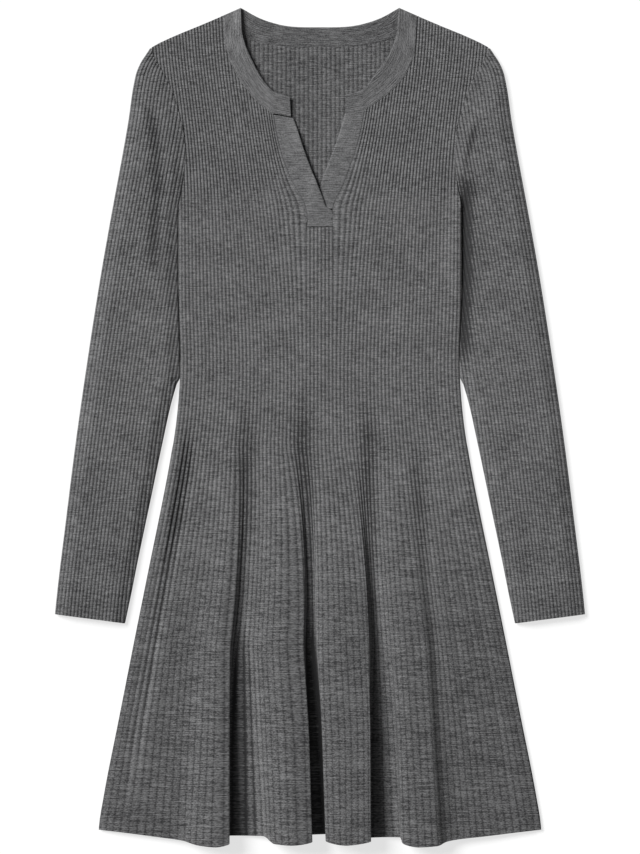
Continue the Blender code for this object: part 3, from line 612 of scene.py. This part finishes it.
def front_grids():
    """The front's outer and inner points, its kept cells, the rib number of each column and the one that
    each point shows, which leaves out the groove along the sewn slit. The outer face is the panel's form,
    raised on each rib, with the pleats and gathers pressed in along theirs."""
    rib = np.arange(-LAST_SHOULDER_RIB, LAST_SHOULDER_RIB + 0.01, 1 / COLUMNS_A_RIB)
    slant = CHEST_SLANT * np.clip((np.abs(rib) - SLIT_RIB) / (LAST_RIB - SLIT_RIB), 0.0, 1.0)

    def lower(down):
        at = down + slant * (1 - ease(down, SLIT_DOWN, SLANT_END))
        if down > WAIST_DOWN:
            x, rise, hang = skirt_section(rib, down)
            return x, at + hem_drop(x, hang, down), rise
        x = np.where(rib < 0, rib_places(rib, at, -1), rib_places(rib, at, 1))
        return x, at, np.zeros_like(rib)

    def yoke(side, columns, down):
        return rib_places(columns, down, side)

    x, down, rise, kept = panel_grid(
        rib, LAST_RIB, lower, yoke, SLIT_DOWN + slant, NECK_SEAM, FRONT_TOUCH, SLIT_RIB
    )
    drop = FRONT_DROP * ease(np.abs(rib), LAST_RIB - FRONT_DROP_RIBS, LAST_RIB)
    drop = drop * ease(down, ARMPIT_DOWN, ARMPIT_DOWN + FRONT_DROP_START)
    base = FRONT_TOP + rise - drop * (np.abs(rib) <= LAST_RIB) - gathered(rib, down)[1]
    far, near = SIDE_SWELL_RIBS
    swell = SIDE_SWELL * between(down, *SIDE_SWELLS)
    base += swell * ease(rib, LAST_RIB - far, LAST_RIB - near) * (rib <= LAST_RIB)
    for pleat, start, end, depth in PLEATS:
        base -= depth * hump(rib, pleat, PLEAT_WIDTH) * between(down, start, end, *PLEAT_FADES)
    base = np.maximum(base, FRONT_UNDER + THIN)
    normal = np.stack([-np.gradient(base, axis=1), np.gradient(x, axis=1)], axis=-1)
    normal /= np.maximum(np.linalg.norm(normal, axis=-1, keepdims=True), 1e-6)
    normal[:, np.abs(rib) >= LAST_RIB] = (0.0, 1.0)
    normal[down < WAIST_DOWN] = (0.0, 1.0)
    sewn = np.isclose(np.abs(rib), SLIT_RIB) & (down < SLIT_DOWN)
    shown = np.where(sewn, np.sign(rib) * SEWN_RIB, rib)
    relief = 1 - SKIRT_RIB_FADE * ease(down, *SKIRT_RIB_FADES)
    crest = relief * ((RIB_RISE + RIB_CUT) * rib_form(shown) - RIB_CUT)
    outer = placed(x + crest * normal[..., 0], down, base + crest * normal[..., 1])
    under = np.maximum(base - WALL * normal[..., 1], FRONT_UNDER)
    return outer, placed(x - WALL * normal[..., 0], down, under), kept, rib, shown


def back_grids():
    """The back's upper and under points, its kept cells and its columns, by their place at the chest. Both
    faces are cut in along the grooves of the ribs."""
    columns = np.concatenate([np.linspace(0.0, SIDE[0][1], BACK_COLUMNS), BACK_SHOULDER_COLUMNS])
    columns = np.concatenate([-columns[:0:-1], columns])
    share = columns / SIDE[0][1]
    slant = CHEST_SLANT * np.clip(np.abs(share), 0.0, 1.0)

    def lower(down):
        x = share * smooth(SIDE, down)
        at = down - BACK_HEM_LIFT * (down > WAIST_DOWN) + hem_drop(x, 0.0, down)
        return x, at + slant * (1 - ease(down, SLIT_DOWN, SLANT_END)), np.zeros_like(x)

    def yoke(side, columns, down):
        return np.broadcast_to(columns, np.broadcast(columns, down).shape)

    seams = {-1: BACK_SEAM, 1: BACK_SEAM}
    x, down, _, kept = panel_grid(columns, SIDE[0][1], lower, yoke, SLIT_DOWN + slant, seams, BACK_TOUCH)
    cut = 1 - rib_form(columns / BACK_RIB)
    drop = BACK_DROP * ease(np.abs(share), BACK_DROP_SHARE, 1.0) * (np.abs(share) <= 1.0)
    top = BACK_TOP - drop - BACK_CUT * cut
    return placed(x, down, top), placed(x, down, UNDER_CUT * cut), kept, columns


def edge_points(grid, columns, row=-1):
    """The points x, down of a panel's top row, or another one, in some of its columns."""
    return np.stack([grid[row, columns, 0], LENGTH / 2 - grid[row, columns, 1]], axis=1)


def band(node, edge_a, edge_b, under, wall, rise=0.0, lift=None, rounding=FREE_ROUND):
    """A flat band of plain knit between its sewn edge, edge_a, and its free one, edge_b, both lines of
    points. Its long edges are rounded as a quarter of an ellipse, the free one by rounding. rise gives how
    far edge_b curls up, in all or at each of its points, and lift how far each point of the band is raised
    besides."""
    across = 0.5 - 0.5 * np.cos(np.pi * np.linspace(0, 1, BAND_COLUMNS))
    flat = edge_a[:, None] * (1 - across[:, None]) + edge_b[:, None] * across[:, None]
    width = np.linalg.norm(edge_b - edge_a, axis=1)[:, None]
    up = np.broadcast_to(rise, len(edge_a))[:, None] * across**2
    x, down = flat[..., 0], flat[..., 1]
    up = up if lift is None else up + lift(x, down)
    sewn, free = (1 - rounded(at * width, BAND_ROUND) for at in (across, 1 - across))
    top = under + wall - SEWN_ROUND * sewn - np.broadcast_to(rounding, len(edge_a))[:, None] * free + up
    run = np.linalg.norm(np.gradient((edge_a + edge_b) / 2, axis=0), axis=1).cumsum()[:, None]
    ways = (across * width, run) if node.startswith("placket") else (run, across * width)
    cloth = np.stack(np.broadcast_arrays(0.0 * run, *ways), axis=-1)
    # The back neckband, seen inside the neck, is painted darker as shade
    out_of_painted_shade = 0.0 if node == "neckband_back" else 1.0
    knit_piece(node, "plain_knit", placed(x, down, top), placed(x, down, under + up), cloth, out_of_painted_shade)


def neckband_front(side, outer, rib):
    """Half of the front neckband: its outer edge follows the front's neck seam and then crosses the
    placket's top to the slit."""
    seam = edge_points(outer, side * rib >= SLIT_RIB)
    seam = seam[::side][np.abs(seam[::side, 0]) <= NECKBAND_END - NECKBAND_STOP]
    seam = np.vstack([seam, [side * NECKBAND_END, NECKBAND_END_DOWN]])[::-1]
    corner_x, corner_down = BAND_CORNER[side]
    across_placket = np.linspace(seam[-1], [side * corner_x, corner_down], BAND_CORNER_ROWS + 1)[1:]
    apart = SEAM + JOINT[side] * (np.arange(len(seam) + BAND_CORNER_ROWS)[:, None] >= len(seam))
    line = shifted(np.vstack([seam, across_placket]), -side * apart)
    line[0] = [side * (NECKBAND_END - SEAM), NECKBAND_END_DOWN]
    shares = shares_along(line)
    free = along_line(NECK_EDGE[side], shares) * [side, 1.0]
    name = f"neckband_front_{'left' if side < 0 else 'right'}"
    curl = 1 + (SHOULDER_CURL - 1) * (side < 0) * (1 - ease(shares, *SHOULDER_CURL_SHARES))
    band(name, line, free, FRONT_UNDER, BAND_WALL, EDGE_RISE * curl * ease(shares, *EDGE_RISE_SHARES))


def neckband_back(outer, columns):
    """The back neckband: from shoulder to shoulder between the back's neck seam and its free edge."""
    seam = edge_points(outer, np.abs(columns) < NECKBAND_END - NECKBAND_STOP)
    end = NECKBAND_END - SEAM
    line = np.vstack([[-end, NECKBAND_END_DOWN], seam, [end, NECKBAND_END_DOWN]])
    free_edge = [(-half, down) for half, down in BACK_EDGE[:0:-1]] + BACK_EDGE
    band("neckband_back", line, along_line(free_edge, shares_along(line)), 0.0, WALL)


def placket(side, outer, rib):
    """One placket, from the neckband to the foot of the slit. The left one ends in a square tab that fills
    the foot of the slit, and its free edge rises over the right one."""
    column = np.argmin(np.abs(rib - side * SLIT_RIB))
    slit = outer[SKIRT_ROWS - 1 :, column]
    slit_downs = LENGTH / 2 - slit[:, 1]
    first, last, sewn_first = PLACKET_ENDS[side]
    downs = np.linspace(first, last, PLACKET_ROWS)
    sewn_downs = downs + (sewn_first - first) * (1 - ease(downs, first, first + SEWN_START))
    sewn = np.interp(sewn_downs, slit_downs[::-1], slit[::-1, 0]) - side * SEAM
    free = smooth(PLACKET_EDGE[side], downs)
    edges = np.stack([sewn, sewn_downs], axis=1), np.stack([free, downs], axis=1)

    def lapped(x, down):
        start, full = (smooth(PLACKET_EDGE[1], down) + across for across in LAP_ACROSS)
        return (WALL + GAP) * ease(x, start, full) * between(down, *LAP)

    def level(x, down):
        start, end = (first + below for below in LEVEL_DOWNS)
        return (BAND_WALL - WALL) * (1 - ease(down, start, end))

    if side > 0:
        band("placket_right", *edges, FRONT_UNDER, WALL, 0.0, level)
    else:
        rise = EDGE_RISE * between(downs, first, *PLACKET_RISE)
        rounding = FREE_ROUND - TAB_ROUND_LESS * ease(downs, *TAB_TOPS)
        band("placket_left", *edges, FRONT_UNDER, WALL, rise, lapped, rounding)


def armhole_line(grid, columns, last, side):
    """The armhole edge that a panel's columns really make, as a function from down to half width."""
    hinge = SKIRT_ROWS - 1 + YOKE_LOW_ROWS
    outermost = side * columns > ARMHOLE_SHARE * last
    lower = edge_points(grid, outermost & (side * columns <= last), hinge)
    points = np.abs(np.vstack([lower, edge_points(grid, outermost, hinge + 1)]))
    points = points[points[:, 0] > smooth(ARMHOLE, points[:, 1]) - ARMHOLE_NEAR]
    points = points[np.argsort(points[:, 1])]
    return lambda down: np.interp(down, points[:, 1], points[:, 0])


def sleeve_creases_and_shade(side, half, down):
    """How much deeper the sleeve's ribs look at each point for its soft creases, which paints shade there,
    and
    how far it is pressed in there: a bell across each crease's line, which fades out at both of its ends."""
    deeper, pressed = np.zeros((2, *np.broadcast(half, down).shape))
    for line, depth, width, ribs in SLEEVE_CREASES[side]:
        fade = between(down, line[0][0], line[-1][0], *CREASE_FADES)
        bell = hump(half, smooth(line, down), width) * fade
        deeper += ribs * bell
        pressed += depth * bell
    return deeper, pressed


def sleeve(side, armholes):
    """One sleeve, a flattened tube: columns over the top from its outer to its inner edge, then some under
    it. Each column starts at the armhole and keeps its share of the width down to the cuff, and the ribs
    lie at an even pitch from the outer edge, so the body and the inner edge cut across them. The innermost
    column runs along the armhole from its narrowest place down to the armpit."""
    top_share = np.linspace(0.0, 1.0, SLEEVE_TOP_COLUMNS)
    under_share = np.linspace(1.0, 0.0, SLEEVE_UNDER_COLUMNS + 2)[1:-1]
    under_share = under_share * (1 - 2 * UNDER_MARGIN) + UNDER_MARGIN
    share = np.concatenate([top_share, under_share])
    on_top = np.arange(len(share)) < len(top_share)

    def width(down):
        edge = smooth(SIDE, np.maximum(down, ARMPIT_DOWN)) + BESIDE
        free = np.where(down > SLEEVE_INNER[0][0], smooth(SLEEVE_INNER, down), 0.0)
        return smooth(SLEEVE_OUTER, np.maximum(down, ARMPIT_DOWN)) - np.maximum(edge, free)

    def across(down, inset):
        return smooth(SLEEVE_OUTER, down) - inset - share * (width(down) - 2 * inset)

    def seam_at(down):
        return np.maximum(*(armhole(down) for armhole in armholes))

    def tops(inset):
        downs = np.arange(ARMPIT_DOWN + TOPS_REACH, ARMHOLE[0][0] - 0.01, -STEP_DOWN)
        limit = seam_at(downs)[:, None] + np.where(on_top, 0.0, SEAM)
        limit = np.where(downs[:, None] > ARMPIT_DOWN, 0.0, limit)
        clear = np.array([across(down, inset) for down in downs]) > limit
        return downs[np.logical_and.accumulate(clear, axis=0).sum(axis=0) - 1]

    cuffs = CUFF_OUTER_DOWN + (CUFF_INNER_DOWN - CUFF_OUTER_DOWN) * share
    steps = np.linspace(0, 1, SLEEVE_ROWS)[:, None]
    starts = tops(0.0)
    innermost = SLEEVE_TOP_COLUMNS - 1
    starts[innermost] = ARMHOLE_WAIST
    down, inner_down = (top + (cuffs - top) * steps for top in (starts, tops(WALL + GAP)))
    from_outer = share * width(down)
    from_edge = np.minimum(share, 1 - share) * width(down)
    crown = SLEEVE_CROWN * ease(from_edge, 0.0, CROWN_WIDTH) * ease(down - down[0], 0.0, CROWN_REACH)
    shoulder = rounded(from_edge, SLEEVE_ROUND)
    middle = WALL + SLEEVE_GAP / 2
    rib = from_outer / SLEEVE_RIB
    half = across(down, 0.0)
    sewn = down[:, innermost] < ARMPIT_DOWN
    half[sewn, innermost] = seam_at(down[sewn, innermost]) + SEAM / 2
    deeper, pressed = sleeve_creases_and_shade(side, half, down)
    pressed *= shoulder
    form = (RIB_RISE + RIB_CUT) * rib_form(rib) - RIB_CUT
    top_z = middle + middle * shoulder + crown - pressed + form * shoulder
    under_z = UNDER_CUT * (1 - rib_form(rib))
    inner_top = np.where((share == 0) | (share == 1), middle, WALL + SLEEVE_GAP + crown - pressed)
    inner_top = np.maximum(inner_top, WALL + GAP)
    outer = placed(side * half, down, np.where(on_top, top_z, under_z))
    inner = placed(side * across(inner_down, WALL + GAP), inner_down, np.where(on_top, inner_top, WALL))
    cloth = np.stack(np.broadcast_arrays(rib, from_outer, down), axis=-1)
    name = f"sleeve_{'left' if side < 0 else 'right'}"
    far, length = CUFF_LINE_WAVE
    line_down = cuffs - CUFF_LINE[side] + far * np.sin(from_outer / length)
    cuff_line = CUFF_LINE_RIBS * hump(down, line_down, CUFF_LINE_WIDTH)
    # The creases bring painted shade in here, through their deeper look
    ribs_and_painted_shade = 1 - CUFF_RIB_FADE * ease(down, *CUFF_RIB_FADES) + cuff_line + deeper
    knit_piece(name, "rib_knit", outer, inner, cloth, ribs_and_painted_shade, ring=True)


class Channel:
    """A number that varies over a surface: a socket of a material's nodes. Arithmetic on it, and math(),
    add Math nodes."""

    def __init__(self, finish, socket):
        self.finish = finish
        self.socket = socket

    def math(self, operation, *others):
        sockets = dict(enumerate([self, *others]))
        return self.finish.node("ShaderNodeMath", {"operation": operation}, sockets)

    def __add__(self, other):
        return self.math("ADD", other)

    __radd__ = __add__

    def __mul__(self, other):
        return self.math("MULTIPLY", other)

    def __sub__(self, other):
        return self.math("SUBTRACT", other)

    def __rsub__(self, other):
        return self * -1.0 + other

    def __pow__(self, power):
        return self.math("POWER", power)


class Finish:
    """A material with a Principled shader, and the one way in which its nodes are added."""

    def __init__(self, name, constants):
        self.material = bpy.data.materials.new(name)
        self.material.use_nodes = True
        self.tree = self.material.node_tree
        self.shader = self.tree.nodes["Principled BSDF"]
        for socket, value in constants.items():
            self.shader.inputs[socket].default_value = value

    def fill(self, socket, value):
        """Links a channel to a socket, or sets the socket to a plain value."""
        if isinstance(value, Channel):
            self.tree.links.new(value.socket, socket)
        else:
            socket.default_value = value

    def node(self, kind, settings, inputs, output=0):
        """Adds a node, sets its settings first and then its sockets, and returns one of its outputs."""
        made = self.tree.nodes.new(kind)
        for setting, value in settings.items():
            setattr(made, setting, value)
        for socket, value in inputs.items():
            self.fill(made.inputs[socket], value)
        return Channel(self, made.outputs[output])

    def shade(self, socket, channel):
        self.tree.links.new(channel.socket, self.shader.inputs[socket])


def noise(finish, across, along, kind):
    """Noise that is drawn out along the knit's courses or wales by how fast each of the two places runs."""
    across_rate, along_rate, seed, detail, roughness = kind
    sockets = {0: across * across_rate, 1: along * along_rate, 2: seed}
    place = finish.node("ShaderNodeCombineXYZ", {}, sockets)
    settings = {"noise_dimensions": "3D"}
    sockets = {"Vector": place, "Scale": 1.0, "Detail": detail, "Roughness": roughness}
    return finish.node("ShaderNodeTexNoise", settings, sockets)


def melange_knit(name, dark, light, groove, cross_lines, stitch_tones, shade):
    """Dark grey heather knit: yarn mottled from dark to light in short streaks along its courses, with
    painted shade in the grooves between ribs, and small stitches in its relief. groove is how dark the
    painted shade in a groove gets, cross_lines how clearly the courses show, stitch_tones how unlike each
    other the stitches are, and shade how much darker the knit is drawn where its ribs look more or less
    deep than
    plain: the yarn's own look where they are stretched flat and along the cuffs' line, and painted shade in
    the creases, the valleys and inside the neck."""
    matt = {"Roughness": 0.95, "Specular IOR Level": 0.2}
    finish = Finish(name, matt | {"Sheen Weight": 0.12, "Sheen Roughness": 0.5})
    cloth = finish.node("ShaderNodeAttribute", {"attribute_name": "cloth"}, {}, "Vector")
    parts = finish.tree.nodes.new("ShaderNodeSeparateXYZ")
    finish.fill(parts.inputs[0], cloth)
    rib, across, along = (Channel(finish, parts.outputs[i]) for i in range(3))
    ribs_and_painted_shade = finish.node("ShaderNodeAttribute", {"attribute_name": "ribs_and_painted_shade"}, {}, "Fac")
    groove_form = 1 - (rib * np.pi).math("COSINE").math("ABSOLUTE") ** GROOVE_POWER
    flatness = (1 - ribs_and_painted_shade).math("MAXIMUM", 0.0)
    hollow = ribs_and_painted_shade * groove_form + flatness * groove_form**2.0 * FLAT_GROOVE
    streaks, grain, patches = (noise(finish, across, along, kind) for kind in (STREAKS, GRAIN, PATCHES))
    course = along * (1 / COURSE)
    courses = (course * (2 * np.pi)).math("COSINE")
    cell = finish.node("ShaderNodeCombineXYZ", {}, {0: rib.math("ROUND"), 1: course.math("ROUND"), 2: 0.5})
    stitches = finish.node("ShaderNodeTexWhiteNoise", {"noise_dimensions": "3D"}, {"Vector": cell}, "Value")
    tone = MIDDLE_TONE + (streaks - 0.5) * STREAK_TONES + (grain - 0.5) * GRAIN_TONES
    tone = tone + (patches - 0.5) * PATCH_TONES
    tone = tone + courses * cross_lines + (stitches - 0.5) * stitch_tones
    # Darker where the ribs look more or less deep than plain: the yarn's own look where they are stretched
    # flat or along the cuffs' line, and painted shade in the creases, the valleys and inside the neck
    tone = tone - (1 - ribs_and_painted_shade).math("ABSOLUTE") * shade
    # Painted shade: the grooves between ribs are drawn darker, as if in shade
    tone = (tone - hollow * groove).math("MAXIMUM", 0.0).math("MINIMUM", 1.0)
    settings = {"data_type": "RGBA", "clamp_factor": True}
    colour = finish.node("ShaderNodeMix", settings, {0: tone, 6: (*dark, 1.0), 7: (*light, 1.0)}, 2)
    finish.shade("Base Color", colour)
    height = grain * GRAIN_RELIEF + streaks * STREAK_RELIEF + courses * COURSE_RELIEF
    height = height - hollow * GROOVE_RELIEF
    strength, distance = BUMP
    sockets = {"Strength": strength, "Distance": distance, "Height": height}
    bump = finish.node("ShaderNodeBump", {}, sockets, "Normal")
    finish.shade("Normal", bump)
    return finish.material


def camera():
    """A long lens straight above the dress that takes in the whole of it."""
    view_height, distance, sensor = 0.9155, 6.0, 36.0
    lens = bpy.data.cameras.new("camera")
    lens.sensor_fit = "AUTO"
    lens.sensor_width = sensor
    lens.lens = sensor * distance / view_height
    lens.clip_end = 100.0
    holder = bpy.data.objects.new("camera", lens)
    holder.location = (0.0, 0.0, distance)
    bpy.context.scene.collection.objects.link(holder)
    bpy.context.scene.camera = holder


def studio():
    """A pale floor that glows evenly, so that shadows on it stay light, even white surroundings, and one
    soft light from the upper left."""
    mesh = bpy.data.meshes.new("floor")
    signs = [(-1, -1), (1, -1), (1, 1), (-1, 1)]
    corners = [(x * FLOOR_REACH, y * FLOOR_REACH, FLOOR_HEIGHT) for x, y in signs]
    mesh.from_pydata(corners, [], [(0, 1, 2, 3)])
    white = (1.0, 1.0, 1.0, 1.0)
    grey = (FLOOR_GREY, FLOOR_GREY, FLOOR_GREY, 1.0)
    paper = {"Base Color": grey, "Roughness": 1.0, "Specular IOR Level": 0.0}
    glow = {"Emission Color": white, "Emission Strength": FLOOR_GLOW}
    mesh.materials.append(Finish("pale floor", paper | glow).material)
    floor = bpy.data.objects.new("floor", mesh)
    bpy.context.scene.collection.objects.link(floor)
    world = bpy.data.worlds.new("studio")
    world.use_nodes = True
    surroundings = world.node_tree.nodes["Background"].inputs
    surroundings["Color"].default_value = white
    surroundings["Strength"].default_value = SURROUNDINGS
    bpy.context.scene.world = world
    light = bpy.data.lights.new("window", "SUN")
    light.energy = SUN_ENERGY
    light.angle = np.radians(SUN_ANGLE)
    window = bpy.data.objects.new("window", light)
    window.rotation_euler = Vector(SUN_WAY).to_track_quat("-Z", "Y").to_euler()
    bpy.context.scene.collection.objects.link(window)
    bpy.context.scene.view_settings.view_transform = "Standard"


def main():
    outer, inner, kept, rib, shown = front_grids()
    down = LENGTH / 2 - outer[..., 1]
    cloth = np.stack(np.broadcast_arrays(shown, rib * FRONT_RIB, down), axis=-1)
    # The gathers' deeper look paints shade in the skirt's valleys
    depth = 1 - SKIRT_LOOK_FADE * ease(down, *SKIRT_RIB_FADES) + gathered(rib, down)[0]
    knit_piece("front_panel", "rib_knit", outer, inner, cloth, depth, kept)
    back_outer, back_under, back_kept, columns = back_grids()
    back_down = LENGTH / 2 - back_outer[..., 1]
    cloth = np.stack(np.broadcast_arrays(columns / BACK_RIB, columns + BACK_YARN, back_down), axis=-1)
    knit_piece("back_panel", "rib_knit", back_outer, back_under, cloth, BACK_RIBS_AND_SHADE, back_kept)
    neckband_back(back_outer, columns)
    for side in (-1, 1):
        neckband_front(side, outer, rib)
        placket(side, outer, rib)
        front_armhole = armhole_line(outer, rib, LAST_RIB, side)
        sleeve(side, (front_armhole, armhole_line(back_outer, columns, SIDE[0][1], side)))
    camera()
    studio()


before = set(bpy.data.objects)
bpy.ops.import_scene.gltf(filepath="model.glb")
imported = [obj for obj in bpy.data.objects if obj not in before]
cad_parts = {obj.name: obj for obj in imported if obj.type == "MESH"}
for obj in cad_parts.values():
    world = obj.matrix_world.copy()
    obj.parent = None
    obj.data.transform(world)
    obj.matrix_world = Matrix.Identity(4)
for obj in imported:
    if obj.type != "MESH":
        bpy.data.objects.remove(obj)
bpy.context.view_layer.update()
# groove sets how dark the painted shade in each knit's rib grooves is; shade sets how much darker it is
# drawn where its ribs look more or less deep, partly the yarn's own look and partly painted shade
MATERIALS = {
    "rib_knit": melange_knit(
        "rib knit", dark=(0.026, 0.026, 0.027), light=(0.220, 0.220, 0.223),
        groove=0.48, cross_lines=0.04, stitch_tones=0.10, shade=0.28,
    ),
    # The plain knit's shade is only the painted shade of the back neckband
    "plain_knit": melange_knit(
        "plain knit", dark=(0.014, 0.014, 0.015), light=(0.200, 0.200, 0.203),
        groove=0.0, cross_lines=0.12, stitch_tones=0.0, shade=0.15,
    ),
}
main()
